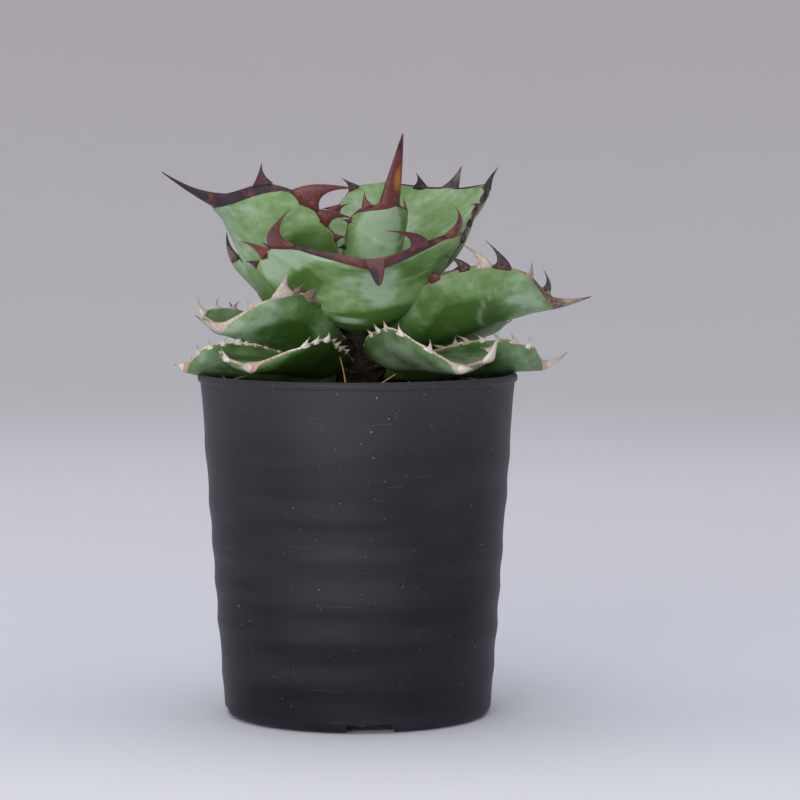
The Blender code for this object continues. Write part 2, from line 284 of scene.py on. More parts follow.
# One row for each leaf, youngest first. Degrees: azimuth, pitch, change of pitch. Millimetres: length
# and width. Degrees: cup. Millimetres: spine and tooth. Degrees: roll, and turn of the tip.
LEAVES = [
    ("leaf_inner_front", 316, 75, 2, 35, 29, 46, 23, 3.0, 0, 0),
    ("leaf_inner_left", 147, 62, -4, 38, 38, 44, 7, 3.5, 0, 0),
    ("leaf_upper_right", 48, 46, 0, 57, 67, 47, 10, 4.5, 2, 0),
    ("leaf_upper_left", 205, 32, 28, 58, 56, 50, 21, 5.0, 8, -40),
    ("leaf_front", 277, 31, -6, 49, 66, 42, 8, 6.0, 4, -30),
    ("leaf_back", 96, 36, -4, 44, 34, 36, 9, 4.0, 0, 0),
    ("leaf_left_back", 168, 21, 26, 42, 36, 42, 9, 4.0, 0, 0),
    ("leaf_right", 348, 10, 3, 60, 56, 51, 12, 5.5, -10, -10),
    ("leaf_right_back", 64, 25, -4, 50, 34, 38, 10, 4.5, 0, 0),
    ("leaf_left_front", 213, 6, 4, 46, 52, 50, 9, 4.0, 8, 0),
    ("leaf_back_left", 116, 22, -4, 52, 36, 38, 9, 4.0, 0, 0),
    ("leaf_low_front_right", 312, -6, 2, 43, 44, 46, 6, 3.0, -10, 0),
    ("leaf_back_right", 37, 8.5, 0, 50, 36, 38, 9, 3.5, 0, 0),
    ("leaf_left_mid", 154, 13, 14, 39, 28, 32, 6, 3.0, 0, 0),
    ("leaf_low_front_left", 229, 1, 0, 44, 44, 38, 5, 2.5, 6, 0),
    ("leaf_low_back", 77, 3.5, -2, 50, 34, 32, 6, 3.0, 0, 0),
    ("leaf_low_right", 3, 2, 0, 54, 40, 44, 8, 3.0, -8, 0),
    ("leaf_low_back_left", 128, 5, -2, 50, 34, 30, 6, 3.0, 0, 0),
    ("leaf_lowest_left", 188, 5, 0, 49, 38, 42, 4, 2.5, 12, 0),
]


# %% A leaf's line and section
class LeafForm:
    """Where each point of one leaf lies."""

    def __init__(self, number, row, look):
        self.name = row[0]
        self.age, self.hollow, self.spine_side, self.spine_up = look[:4]
        self.tip_width, self.belly = (size * MM for size in look[4:6])
        self.fuller = [extra * MM for extra in look[6:]]
        self.edge_share = 0.80 - 0.38 * self.age
        angles = [math.radians(row[i]) for i in (1, 2, 3, 6, 9, 10)]
        self.azimuth, self.pitch, self.bend, self.cup, self.roll, self.tip_turn = angles
        self.length, self.width, self.spine, self.tooth = (row[i] * MM for i in (4, 5, 7, 8))
        height = STEM_TOP - LEAF_BELOW_STEM_TOP - LEAF_STEP * number
        share = (height - BASE_THICK / 2 - STEM_FOOT) / (STEM_TOP - STEM_FOOT)
        foot = STEM_RADII[0] + (STEM_RADII[1] - STEM_RADII[0]) * share
        reach = foot + GAP + FACE_SHARE * BASE_THICK * math.sin(self.pitch)
        self.away = Vector((math.cos(self.azimuth), math.sin(self.azimuth), 0.0))
        self.level = Vector((-math.sin(self.azimuth), math.cos(self.azimuth), 0.0))
        self.line = [self.away * reach + Vector((0, 0, height))]
        self.reach = 1 + self.spine / self.length
        stride = self.length * self.reach / LINE_STEPS
        for step in range(LINE_STEPS):
            angle = self.angle((step + 0.5) / LINE_STEPS * self.reach)
            heading = math.cos(angle) * self.away + Vector((0, 0, math.sin(angle)))
            self.line.append(self.line[-1] + stride * heading)

    def angle(self, place):
        """The line's pitch at a place, with the tip's own turn past TIP_TURN_PLACE."""
        turned = min(max(place - TIP_TURN_PLACE, 0.0) / (1 - TIP_TURN_PLACE), 1.0)
        return self.pitch + self.bend * place + self.tip_turn * turned

    def frame(self, place):
        """The centre point and the directions along, to the side and up out of the face."""
        at = min(max(place / self.reach * LINE_STEPS, 0.0), LINE_STEPS - 1e-6)
        index = int(at)
        point = self.line[index].lerp(self.line[index + 1], at - index)
        angle = self.angle(place)
        along = math.cos(angle) * self.away + Vector((0, 0, math.sin(angle)))
        over = Vector((0, 0, math.cos(angle))) - math.sin(angle) * self.away
        side = math.cos(self.roll) * self.level + math.sin(self.roll) * over
        return point, along, side, math.cos(self.roll) * over - math.sin(self.roll) * self.level

    def section(self, place, edge):
        """Half width, middle thickness, edge thickness and cup at a place, on one side of the blade."""
        blade = min(place, 1.0)
        base = BASE_WIDTH / 2
        half = base + (self.width / 2 - base) * smooth_between(OUTLINE, blade)
        half += self.fuller[edge > 0] * math.exp(-(((blade - FULLER_PLACE) / FULLER_SPREAD) ** 2))
        half += (self.tip_width / 2 - half) * max(blade - NARROWS_FROM, 0.0) / (1 - NARROWS_FROM)
        middle = BASE_THICK + (MID_THICK - BASE_THICK) * min(blade / THICKEST_PLACE, 1.0)
        middle += (TIP_THICK - MID_THICK) * max(blade - THICKEST_PLACE, 0.0) / (1 - THICKEST_PLACE)
        swell = math.sin(math.pi / 2 * min(blade, 0.9) / 0.6)
        bent = self.cup * (0.35 + 0.65 * swell)
        rim = EDGE_THICK * self.edge_share
        if place > 1:
            beyond = min((place - 1) / (self.reach - 1), 1.0)
            taper = (1 - beyond) ** self.hollow
            half = SPINE_POINT + (self.tip_width / 2 - SPINE_POINT) * taper
            middle = 2 * SPINE_POINT + (TIP_THICK * 0.95 - 2 * SPINE_POINT) * (1 - beyond) ** 1.1
            rim = SPINE_POINT + (EDGE_THICK - SPINE_POINT) * taper
            bent = max(bent * (1 - beyond), 0.02)
        return half, middle, rim, bent

    def margin(self, place, edge):
        """A point on an edge, and the directions along it, outwards and towards the inner face."""
        point, along, side, up = self.frame(place)
        half, _, _, bent = self.section(place, edge)
        out = side * (math.cos(bent) * edge) + up * math.sin(bent)
        inward = up * math.cos(bent) - side * (math.sin(bent) * edge)
        point = point + side * (half * math.sin(bent) / bent * edge)
        return point + up * (half * (1 - math.cos(bent)) / bent), along, out, inward

    def rim(self, place, edge):
        """The same, with the directions turned to run with the margin, which closes in at the tip."""
        where, _, out, inward = self.margin(place, edge)
        run = (self.margin(place + 0.01, edge)[0] - self.margin(place - 0.01, edge)[0]).normalized()
        out = (out - run * out.dot(run)).normalized()
        inward = (inward - run * inward.dot(run)).normalized()
        return where, run, out, (inward - out * inward.dot(out)).normalized()


# %% [markdown]
# # Teeth, horn and the leaf's own marks
# A tooth is a cone of horn with a long foot along the margin. It is slimmer towards its point and hooks
# over. The youngest leaves have the largest teeth, nearly black or maroon, and old ones have small, dry,
# whitish hooks. On the leaves that face the viewer each tooth is placed, and on the others they are
# scattered with a fixed seed.

# %% Horn age, end spine and placed teeth of each leaf
# For each leaf: age from 0 to 1; how hollow the spine's taper is; the spine's curve to the side and
# upwards, as shares of its length; and in mm, its width at the foot, how far the leaf's belly swells
# below its plain solid, and how much fuller its first and second edges are low on the blade.
LOOKS = {
    "leaf_inner_front": (0.02, 0.85, 0.02, 0.0, 8.8, 1.0, 0, 0),
    "leaf_inner_left": (0.05, 1.4, 0.0, 0.1, 6.0, 1.0, 0, 0),
    "leaf_upper_right": (0.30, 1.3, 0.05, 0.1, 7.0, 1.5, 7.0, -2.5),
    "leaf_upper_left": (0.29, 2.1, 0.0, 0.02, 11.0, 8.0, 5.0, 1.0),
    "leaf_front": (0.08, 0.5, 0.0, -0.75, 7.0, 5.0, 7.5, 0.0),
    "leaf_back": (0.30, 1.5, 0.1, 0.1, 6.5, 1.0, 0, 0),
    "leaf_left_back": (0.42, 1.5, 0.0, 0.35, 6.0, 1.0, 0, 0),
    "leaf_right": (0.55, 1.7, 0.0, 0.12, 7.5, 4.0, 1.0, 0),
    "leaf_right_back": (0.40, 1.5, 0.1, 0.1, 6.5, 1.0, 0, 0),
    "leaf_left_front": (0.80, 1.6, 0.0, 0.25, 5.5, 4.0, 0, -2.0),
    "leaf_back_left": (0.55, 1.5, 0.0, 0.1, 6.0, 1.0, 0, 0),
    "leaf_low_front_right": (0.92, 1.6, 0.0, 0.1, 4.5, 1.2, -2.0, 0),
    "leaf_back_right": (0.66, 1.6, 0.0, 0.1, 6.0, 1.0, 0, 0),
    "leaf_left_mid": (0.60, 1.6, 0.0, 0.3, 5.0, 1.0, 0, 0),
    "leaf_low_front_left": (0.95, 1.6, 0.0, 0.1, 4.0, 1.2, 0, -4.0),
    "leaf_low_back": (0.85, 1.6, 0.0, 0.1, 5.5, 1.0, 0, 0),
    "leaf_low_right": (0.90, 1.8, 0.0, 0.45, 5.0, 1.0, 0, 0),
    "leaf_low_back_left": (0.90, 1.6, 0.0, 0.1, 5.5, 1.0, 0, 0),
    "leaf_lowest_left": (0.97, 1.6, 0.0, 0.1, 5.0, 1.0, 0, 0),
}

# Placed teeth: edge, place along the blade, height and foot length in mm, lean towards the tip and curl
# towards the inner face as shares of the height, and the tooth's own age.
PLACED_TEETH = {
    "leaf_inner_front": [
        (-1, 0.95, 6, 4, 0.3, 0.0, 0.0), (-1, 0.80, 2.5, 2.5, -0.4, 0.0, 0.1),
        (1, 0.90, 5, 5, 0.2, 0.2, 0.0), (1, 0.70, 4, 4, -0.4, 0.2, 0.1),
        (-1, 0.55, 2.5, 2.5, -0.4, 0.1, 0.2),
    ],
    "leaf_upper_left": [
        (1, 0.93, 6.3, 7, -0.15, 0.1, 0.2), (1, 0.78, 13, 10, -0.95, 0.2, 0.04),
        (1, 0.62, 8, 7, -0.8, 0.2, 0.06), (1, 0.47, 4, 4, -0.4, 0.2, 0.1),
        (-1, 0.84, 5, 5, -0.9, 0.5, 0.1), (-1, 0.74, 8, 7, -0.6, 0.3, 0.1),
        (-1, 0.58, 5, 5, -0.5, 0.2, 0.2), (-1, 0.44, 3, 3, -0.4, 0.2, 0.3),
    ],
    "leaf_upper_right": [
        (-1, 0.90, 7, 6, 0.2, -0.3, 0.34), (-1, 0.76, 6, 6, -0.9, 0.5, 0.25),
        (-1, 0.64, 5, 5, -0.8, 0.4, 0.1), (-1, 0.52, 3.5, 4, -0.6, 0.3, 0.3),
        (-1, 0.40, 2.5, 3, -0.4, 0.2, 0.3), (1, 0.965, 5, 6, -0.3, 0.1, 0.32),
        (1, 0.80, 5, 5, -0.4, 0.2, 0.3), (1, 0.60, 5, 5, -0.4, 0.2, 0.3),
    ],
    "leaf_front": [
        (-1, 0.84, 11, 12, 1.1, 0.45, 0.05), (-1, 0.60, 8.5, 7, -0.35, -0.1, 0.0),
        (-1, 0.72, 3, 4, -0.5, 0.1, 0.0), (-1, 0.45, 4, 4, -0.5, 0.1, 0.2),
        (1, 0.95, 9, 7, 1.1, 0.1, 0.12), (1, 0.87, 10.5, 8, 0.75, 0.25, 0.03),
        (1, 0.68, 5, 4, 0.3, 0.2, 0.45), (1, 0.60, 5, 4, -0.5, 0.3, 0.4),
        (1, 0.50, 4, 3, -0.5, 0.3, 0.5), (1, 0.40, 3, 3, -0.4, 0.3, 0.5),
    ],
    "leaf_right": [
        (-1, 0.93, 3.5, 4, -0.6, 0.3, 0.7), (-1, 0.82, 6.5, 6, -1.0, 0.5, 0.42),
        (-1, 0.73, 7, 5, -1.1, 0.4, 0.8), (-1, 0.62, 6, 4.5, -1.1, 0.3, 0.45),
        (-1, 0.45, 5, 5, -0.8, 0.2, 0.06), (-1, 0.33, 4, 4, -0.6, 0.2, 0.1),
        (1, 0.90, 6, 6, -1.0, 0.5, 0.45), (1, 0.78, 7, 5, -1.1, 0.4, 0.45),
        (1, 0.66, 6.5, 5, -1.0, 0.4, 0.5), (1, 0.52, 5, 5, -0.7, 0.2, 0.5),
        (1, 0.38, 3, 3, -0.5, 0.2, 0.5),
    ],
    "leaf_low_front_right": [
        (1, 0.93, 8.5, 6, -0.25, 0.35, 1.0), (1, 0.80, 4, 5, -0.6, 0.4, 1.0),
        (1, 0.66, 3, 5, 0.6, 0.5, 0.95), (1, 0.50, 2.5, 4, -0.6, 0.2, 0.9),
        (1, 0.36, 2, 3, -0.5, 0.2, 0.9), (-1, 0.94, 2.5, 4, -0.5, 0.6, 0.95),
        (-1, 0.78, 2, 4, -0.9, 0.9, 1.0), (-1, 0.62, 2.2, 3.5, -0.8, 0.7, 0.9),
        (-1, 0.48, 2.6, 3.5, -0.9, 0.5, 0.95), (-1, 0.36, 2, 3, -0.6, 0.3, 0.9),
    ],
    "leaf_left_front": [
        (1, 0.94, 3, 5, 0.4, 0.3, 0.8), (1, 0.80, 8, 7, -0.35, 0.2, 0.85),
        (1, 0.70, 4, 4, -0.7, 0.2, 0.6), (1, 0.58, 6, 5, -0.8, 0.3, 0.6),
        (1, 0.46, 4, 4, -0.7, 0.2, 0.5), (1, 0.36, 3, 3, -0.5, 0.2, 0.5),
        (-1, 0.88, 5, 6, -0.7, 0.4, 0.9), (-1, 0.74, 4, 5, -0.7, 0.3, 0.9),
        (-1, 0.60, 4, 4, -0.6, 0.2, 0.8), (-1, 0.46, 3, 3, -0.5, 0.2, 0.8),
    ],
}

forms = {row[0]: LeafForm(number, row, LOOKS[row[0]]) for number, row in enumerate(LEAVES)}
print("longest leaf in mm:", max(round(f.length * f.reach / MM) for f in forms.values()))


def scattered_teeth(form):
    """Teeth for a leaf that has none placed, with a fixed seed: closer and smaller with age."""
    chance = random.Random(form.name)
    teeth = []
    for edge in (-1, 1):
        place = 0.24 + 0.04 * chance.random()
        while place < 0.95:
            grown = 0.45 + 0.75 * math.sin(math.pi * min(place, 0.9) / 1.5)
            height = form.tooth / MM * grown * chance.uniform(0.65, 1.3) * (1.05 - 0.3 * form.age)
            foot = height * chance.uniform(0.8, 1.2) + 0.8
            lean = chance.uniform(-1.1, -0.5) + (1.3 if chance.random() < 0.2 else 0)
            own = min(max(form.age + chance.uniform(-0.15, 0.1), 0.0), 1.0)
            teeth.append((edge, place, height, foot, lean, chance.uniform(0.0, 0.5), own))
            place += (foot * 0.75 + chance.uniform(0.8, 4.2) * (1.7 - form.age)) * MM / form.length
    return teeth


teeth_of = {name: PLACED_TEETH.get(name) or scattered_teeth(form) for name, form in forms.items()}
print("teeth in all:", sum(len(teeth) for teeth in teeth_of.values()))

# %% [markdown]
# # Leaf skin and horn
# Young agave leaves wear a grey-green bloom of wax. Where leaves pressed on each other in the bud, the
# wax is rubbed off and the skin shows a deeper, shinier green, often with a crisp edge. The horn of the
# margin starts maroon or nearly black and bleaches to a dry whitish grey. One material serves every
# leaf: the mesh carries the age, how much wax is left, and the distance to the horn's edge in
# millimetres, which keeps that edge sharp.

# %% Leaf material
# What each vertex of a leaf carries for the material to read.
LAYERS = ("age", "wax", "into_horn", "to_point", "press", "glow", "rust")

leaf_skin, tree, shader = new_material("waxy_leaf_and_horn")
place = add(tree, "TexCoord", output="Object")
age, wax, into_horn, to_point, press, glow, rust = (
    add(tree, "Attribute", output="Fac", attribute_name=layer) for layer in LAYERS
)
patches = add(tree, "TexNoise", {"Vector": place, "Scale": 1 / (14 * MM), "Detail": 3})
mottle = add(tree, "TexNoise", {"Vector": place, "Scale": 1 / (3.2 * MM), "Detail": 4})
fine = add(tree, "TexNoise", {"Vector": place, "Scale": 1 / (0.8 * MM), "Detail": 3})

# Wax: the share that the mesh carries, broken up by 14 mm patches and 3 mm mottle.
uneven = add(tree, "Math", (patches, 0.5), operation="SUBTRACT")
left = add(tree, "Math", (uneven, 1.7, wax), operation="MULTIPLY_ADD")
uneven = add(tree, "Math", (mottle, 0.5), operation="SUBTRACT")
left = add(tree, "Math", (uneven, 0.75, left), operation="MULTIPLY_ADD", use_clamp=True)
young_skin = add(
    tree, "ValToRGB", (left,), stops=[(0.0, "#567838"), (0.35, "#6f9252"), (0.7, "#88a870"), (1.0, "#a8bf9f")]
)
old_skin = add(
    tree, "ValToRGB", (left,), stops=[(0.0, "#2b4714"), (0.35, "#44642d"), (0.7, "#67855a"), (1.0, "#8ba085")]
)
skin = add(tree, "Mix", {0: age, 6: young_skin, 7: old_skin}, output=2, data_type="RGBA")
skin = add(tree, "Mix", {0: press, 6: skin, 7: "#bccfb9"}, output=2, data_type="RGBA")

# Specks: dark dots about half a millimetre across, a few millimetres apart.
cells = add(tree, "TexVoronoi", {"Vector": place, "Scale": 1 / (2.1 * MM)})
speck = add(tree, "Math", (cells, 0.13), operation="LESS_THAN")
speckled = add(tree, "Math", (patches, 0.5), operation="GREATER_THAN")
speck = add(tree, "Math", (speck, speckled), operation="MULTIPLY")
speck = add(tree, "Math", (speck, 0.35), operation="MULTIPLY")
skin = add(tree, "Mix", {0: speck, 6: skin, 7: "#2c3d26"}, output=2, data_type="RGBA")

# Horn: colour by age, with grain, an orange root on young teeth and brown points on old ones.
streak = add(tree, "Math", (fine, 0.5), operation="SUBTRACT")
streak = add(tree, "Math", (streak, 0.5, age), operation="MULTIPLY_ADD")
horn = add(
    tree, "ValToRGB", (streak,),
    stops=[
        (0.0, "#6e3431"), (0.16, "#4a2a33"), (0.3, "#29202a"), (0.45, "#3c3030"), (0.62, "#8d7263"),
        (0.85, "#cdbcae"), (1.0, "#e6ddd2"),
    ],
)
at_foot = add(tree, "Math", (to_point, 0.22), operation="LESS_THAN")
patchy = add(tree, "Math", (mottle, 5.0, -2.7), operation="MULTIPLY_ADD", use_clamp=True)
rooted = add(tree, "Math", (at_foot, patchy), operation="MULTIPLY")
young = add(tree, "Math", (age, 0.7), operation="LESS_THAN")
rooted = add(tree, "Math", (rooted, young), operation="MULTIPLY")
rooted = add(tree, "Math", (rooted, 0.6), operation="MULTIPLY")
horn = add(tree, "Mix", {0: rooted, 6: horn, 7: "#96502c"}, output=2, data_type="RGBA")
pointed = add(tree, "Math", (to_point, to_point), operation="MULTIPLY")
old = add(tree, "Math", (age, 0.5), operation="GREATER_THAN")
pointed = add(tree, "Math", (pointed, old), operation="MULTIPLY")
pointed = add(tree, "Math", (pointed, 0.8), operation="MULTIPLY")
horn = add(tree, "Mix", {0: pointed, 6: horn, 7: "#5a4038"}, output=2, data_type="RGBA")
# Painted glow: amber where light shines through the thin horn of the youngest spine.
horn = add(tree, "Mix", {0: glow, 6: horn, 7: "#c07a22"}, output=2, data_type="RGBA")
rusty = add(tree, "Math", (rust, 0.75), operation="MULTIPLY")
horn = add(tree, "Mix", {0: rusty, 6: horn, 7: "#a8683f"}, output=2, data_type="RGBA")

# The horn's edge is ragged by a third of a millimetre, with a thin brown line along it.
ragged = add(tree, "Math", (fine, 0.5), operation="SUBTRACT")
ragged = add(tree, "Math", (ragged, 0.9, into_horn), operation="MULTIPLY_ADD")
is_horn, near_horn = (
    add(
        tree, "MapRange", {"Value": ragged, "From Min": low, "From Max": high}, output="Result",
        interpolation_type="SMOOTHSTEP",
    )
    for low, high in ((-0.1, 0.12), (-0.75, -0.1))
)
near_horn = add(tree, "Math", (near_horn, 0.5), operation="MULTIPLY")
skin = add(tree, "Mix", {0: near_horn, 6: skin, 7: "#a48a58"}, output=2, data_type="RGBA")
surface = add(tree, "Mix", {0: is_horn, 6: skin, 7: horn}, output=2, data_type="RGBA")
tree.links.new(surface, shader.inputs["Base Color"])

# Gloss and relief: rubbed skin is glossier than wax, and old horn is dry and rough.
rough = add(tree, "Math", (left, 0.2, 0.38), operation="MULTIPLY_ADD")
drier = add(tree, "Math", (age, 0.35, -0.12), operation="MULTIPLY_ADD")
rough = add(tree, "Math", (is_horn, drier, rough), operation="MULTIPLY_ADD")
tree.links.new(rough, shader.inputs["Roughness"])
shader.inputs["Specular IOR Level"].default_value = 0.4
height = add(tree, "Math", (mottle, 0.5), operation="MULTIPLY")
height = add(tree, "Math", (fine, 0.35, height), operation="MULTIPLY_ADD")
coarse = add(tree, "Math", (fine, 1.6, 0.4), operation="MULTIPLY_ADD")
height = add(tree, "Math", (is_horn, coarse, height), operation="MULTIPLY_ADD")
bump = add(tree, "Bump", {"Height": height, "Distance": 0.16 * MM, "Strength": 0.7})
tree.links.new(bump, shader.inputs["Normal"])

# %% [markdown]
# # The leaves
# Each leaf is one closed skin of about seven thousand faces, with its teeth set into the margin. The
# mesh is finest at the edges, where the light catches the rounded horn. Slow waves along the margin, a
# shallow swelling of the face and a wandering outline keep two leaves from looking alike.

# %% Wax and pressed marks
# Marks: place along the blade, place across it, their half sizes, and how much wax they add or take.
MARKS = {
    "leaf_front": [
        (0.60, -0.58, 0.18, 0.12, -1.0), (0.62, -0.25, 0.22, 0.14, 0.3), (0.28, 0.10, 0.20, 0.5, -0.9),
        (0.80, 0.55, 0.25, 0.3, -0.5), (0.75, -0.88, 0.35, 0.28, 0.6), (0.72, 0.12, 0.3, 0.16, 0.45),
    ],
    "leaf_upper_left": [
        (0.75, 0.1, 0.35, 0.5, 0.25), (0.35, 0.6, 0.35, 0.5, -0.8), (0.30, -0.2, 0.30, 0.4, -0.3),
    ],
    "leaf_inner_front": [
        (0.75, -0.3, 0.35, 0.6, 0.6), (0.35, 0.1, 0.25, 0.8, 0.1), (0.85, 0.6, 0.30, 0.35, -0.2),
    ],
    "leaf_right": [(0.55, -0.3, 0.3, 0.4, -0.7), (0.85, -0.2, 0.15, 0.4, 0.3), (0.3, 0.2, 0.2, 0.4, 0.3)],
    "leaf_low_front_left": [(0.5, 0.2, 0.7, 1.1, -0.7)],
    "leaf_low_front_right": [(0.55, -0.2, 0.4, 0.7, 0.25)],
    "leaf_left_front": [(0.55, 0.3, 0.3, 0.4, -0.6), (0.85, 0.2, 0.2, 0.5, 0.3)],
}


def waxed(form, place, across, inner_face):
    """How much wax is left at a point of the blade, from 0 to 1."""
    left = 0.52 + 0.42 * (place - 0.5) + (0.05 if inner_face > 0 else 0.0)
    for at, over, long, wide, change in MARKS.get(form.name, ()):
        if inner_face <= 0:
            far = math.hypot((place - at) / long, (across - over) / wide)
            left += change * min(max((1.0 - far) / 0.25, 0.0), 1.0)
    return left


# Prints: a pale line left by the next leaf's margin while both were folded in the bud, as the place of
# its middle, the place across, its sag, its reach across, its half width and its strength.
PRINTS = {
    "leaf_inner_front": [(0.62, 0.05, 0.16, 0.8, 0.030, 0.55), (0.90, -0.2, -0.35, 0.9, 0.022, 0.25)],
    "leaf_front": [
        (0.35, -0.17, 0.0, 0.10, 0.045, 0.8), (0.66, 0.42, 0.5, 0.5, 0.020, 0.25),
        (0.55, -0.50, -0.3, 0.30, 0.018, 0.3),
    ],
    "leaf_upper_left": [(0.60, 0.3, 0.3, 0.6, 0.018, 0.3)],
    "leaf_right": [(0.6, -0.2, 0.25, 0.6, 0.016, 0.25)],
}


def printed(form, place, across):
    """How strong the prints are at a point of the outer face, from 0 to 1."""
    most = 0.0
    for at, over, sag, reach, half, strength in PRINTS.get(form.name, ()):
        aside = (across - over) / reach
        if abs(aside) < 1:
            far = abs(place - at - sag * aside * aside) / (half * math.sqrt(1 - aside * aside))
            most = max(most, strength * min(max(1 - far, 0.0) * 2.5, 1.0))
    return most


# %% Leaf and tooth builders
AROUND, BLADE_ROWS, SPINE_ROWS = 60, 84, 24
WANDER, WAVE, SWELL = 0.035, 0.9 * MM, 0.45 * MM
BELLY_PLACE, BELLY_SPREAD = 0.28, 0.30
TOOTH_SUNK = 0.9 * MM


def add_tooth(bm, layers, form, tooth):
    """One hooked cone of horn, set a little into the margin."""
    edge, place, tall, foot, lean, curl, age = tooth
    where, along, out, inward = form.rim(place, edge)
    tall, foot = tall * MM, foot * MM

    def at(turn, share):
        rise = share ** 0.85
        point = where + out * (tall * rise - TOOTH_SUNK * (1 - share))
        point = point + (along * lean + inward * curl) * (tall * share ** 2.2)
        heading = (out + (along * lean + inward * curl) * (2.2 * share ** 1.2)).normalized()
        long = (along - heading * along.dot(heading)).normalized()
        thick = heading.cross(long)
        slim = (1 - share) ** 2.6
        half_long = foot / 2 * slim + tall * 0.085 * (1 - share) ** 0.8 + 0.04 * MM
        half_thick = min(0.75 * MM + tall * 0.05, 1.3 * MM) * (1 - share) ** 1.15 + 0.05 * MM
        ring = math.tau * turn
        point = point + long * (half_long * math.cos(ring)) + thick * (half_thick * math.sin(ring))
        return point, (age, 0.5, 3.0, share, 0.0, 0.0, 0.0)

    loft(bm, 12, 12, at, layers)


def horn_width(form, place, edge, teeth):
    """How far the horn reaches onto the blade from an edge, in mm."""
    width = 0.26 - 0.1 * form.age + 0.35 * noise.noise(Vector((place * 14, edge * 3.0, form.azimuth * 5)))
    for side, at, tall, foot, *_ in teeth:
        if side == edge:
            near = max(0.0, 1 - abs(place - at) * form.length / MM / (0.62 * foot + 0.4))
            width += (0.18 - 0.06 * form.age) * tall * near ** 1.8
    reach = 0.09 * (form.tip_width / TIP_WIDTH) ** 1.5 * (1.1 - 0.45 * form.age)
    closing = max(place - 1 + reach, 0.0) / reach
    return width + closing ** 2 * form.section(min(place, 1.0), edge)[0] / MM * (1.12 - 0.9 * form.age)


def make_leaf(form):
    """The blade and spine as one closed skin, and the teeth."""
    teeth = teeth_of[form.name]
    bm = bmesh.new()
    layers = [bm.verts.layers.float.new(name) for name in LAYERS]
    seed = form.azimuth * 7.3 + form.pitch * 3.1
    rows = BLADE_ROWS + SPINE_ROWS
    widths = {}

    def at(turn, share):
        row = share * rows
        place = row / BLADE_ROWS
        if row > BLADE_ROWS:
            place = 1 + (row - BLADE_ROWS) / SPINE_ROWS * (form.reach - 1)
        point, along, side, up = form.frame(place)
        ring = math.tau * turn
        across = -math.cos(ring)
        face = math.sin(ring)
        edge = math.copysign(1, across)
        half, middle, rim, bent = form.section(place, edge)
        blade = min(place, 1.0)
        grown = min(blade / 0.3, 1.0) * min((1.02 - blade) / 0.2, 1.0) if place <= 1 else 0.0

        # The outline wanders, and the margins wave up and down.
        half *= 1 + WANDER * grown * noise.noise(Vector((place * 9, edge * 2 + seed, 0.0)))
        wave = WAVE * grown * abs(across) ** 3 * noise.noise(Vector((place * 7, edge * 4 + seed, 3.0)))
        from_edge = (1 - abs(across)) * half
        round_off = min(from_edge / (0.55 * rim), 1.0)
        bulk = rim * math.sqrt(max(1 - (1 - round_off) ** 2, 0.0)) + (middle - rim) * (1 - across * across)
        offset = bulk * (FACE_SHARE if face >= 0 else FACE_SHARE - 1)
        if place <= 1:
            swell = noise.noise(Vector((place * 4, across * 2.2 + seed, 5.0 if face > 0 else 9.0)))
            offset += SWELL * grown * swell * (1 - across ** 4)
            if face < 0:
                hung = math.exp(-(((place - BELLY_PLACE) / BELLY_SPREAD) ** 2)) * (1 - across * across)
                offset -= form.belly * hung
        bow = bent * across
        out = half * math.sin(bow) / bent - math.sin(bow) * offset
        rise = half * (1 - math.cos(bow)) / bent + math.cos(bow) * offset + wave
        point = point + side * out + up * rise
        beyond = max(place - 1, 0.0) / (form.reach - 1)
        if beyond:
            point += side * (form.spine_side * form.spine * beyond ** 2)
            point += up * (form.spine_up * form.spine * beyond ** 2)

        # How far the point lies inside the horn; the bleached, rusty and printed marks; and a painted glow
        # of light through the youngest spine.
        key = (round(place, 4), edge)
        if key not in widths:
            widths[key] = horn_width(form, place, edge, teeth) if place <= 1 else 6.0
        into = widths[key] - from_edge / MM
        age = form.age
        if into > -0.8:
            bleach = max(noise.noise(Vector((place * 5, edge * 3 + seed, 7.0))) - 0.12, 0.0)
            age += 1.6 * bleach * (1 - form.age)
        rust = 0.0
        if place <= 1.02:
            rust = min(max(blade - 0.9, 0.0) * 12, 1.0) * max(form.age - 0.82, 0.0) * 6
        # Painted glow on the spine of the youngest leaf, standing in for light through its horn.
        glow = 0.0
        if form.name == "leaf_inner_front" and face < 0 and beyond:
            glow = max(0.0, 1 - math.hypot((beyond - 0.36) / 0.20, (across - 0.1) / 0.55)) ** 0.5
        press = printed(form, place, across) if face < 0 else 0.0
        return point, (age, waxed(form, place, across, face), into, beyond, press, glow, rust)

    loft(bm, AROUND, rows, at, layers)
    for tooth in teeth:
        add_tooth(bm, layers, form, tooth)
    return finished(form.name + "_fine", bm, leaf_skin, "leaf_skin", form.name)


for form in forms.values():
    make_leaf(form)

# %% [markdown]
# # Pot
# The pot is blown from thin, soft plastic, so its wall is not quite straight: shallow swellings run
# round it like tide lines. It is turned from one profile with many points up the wall, and each point
# is moved in or out a little. The drain notches are then cut out of the foot.

# %% Pot sizes
POT_HEIGHT = 112 * MM
POT_TOP, POT_BOTTOM = 52.5 * MM, 44.5 * MM
LIP_WIDTH, LIP_HEIGHT, POT_WALL, POT_FLOOR, POT_CORNER = (v * MM for v in (0.7, 2.6, 1.2, 1.6, 3.5))
SLOPE = (POT_TOP - POT_BOTTOM) / POT_HEIGHT
WALL_STEPS, TURN_STEPS = 64, 160

# Swellings: height, size and spread in mm.
SWELLS = [
    (15, 0.34, 3.8), (29, 0.52, 3.6), (42, 0.44, 3.4), (55, 0.38, 3.6), (70, 0.44, 4.0), (87, 0.36, 4.2),
]


def swelling(height, turn):
    """How far the wall stands out at a height and a turn round the pot."""
    total = 0.0
    for middle, size, spread in SWELLS:
        middle = middle + 1.6 * math.sin(turn + middle) + 0.8 * math.sin(2 * turn + middle * 2)
        total += size * math.exp(-(((height / MM - middle) / spread) ** 2))
    return (total - 0.2) * MM


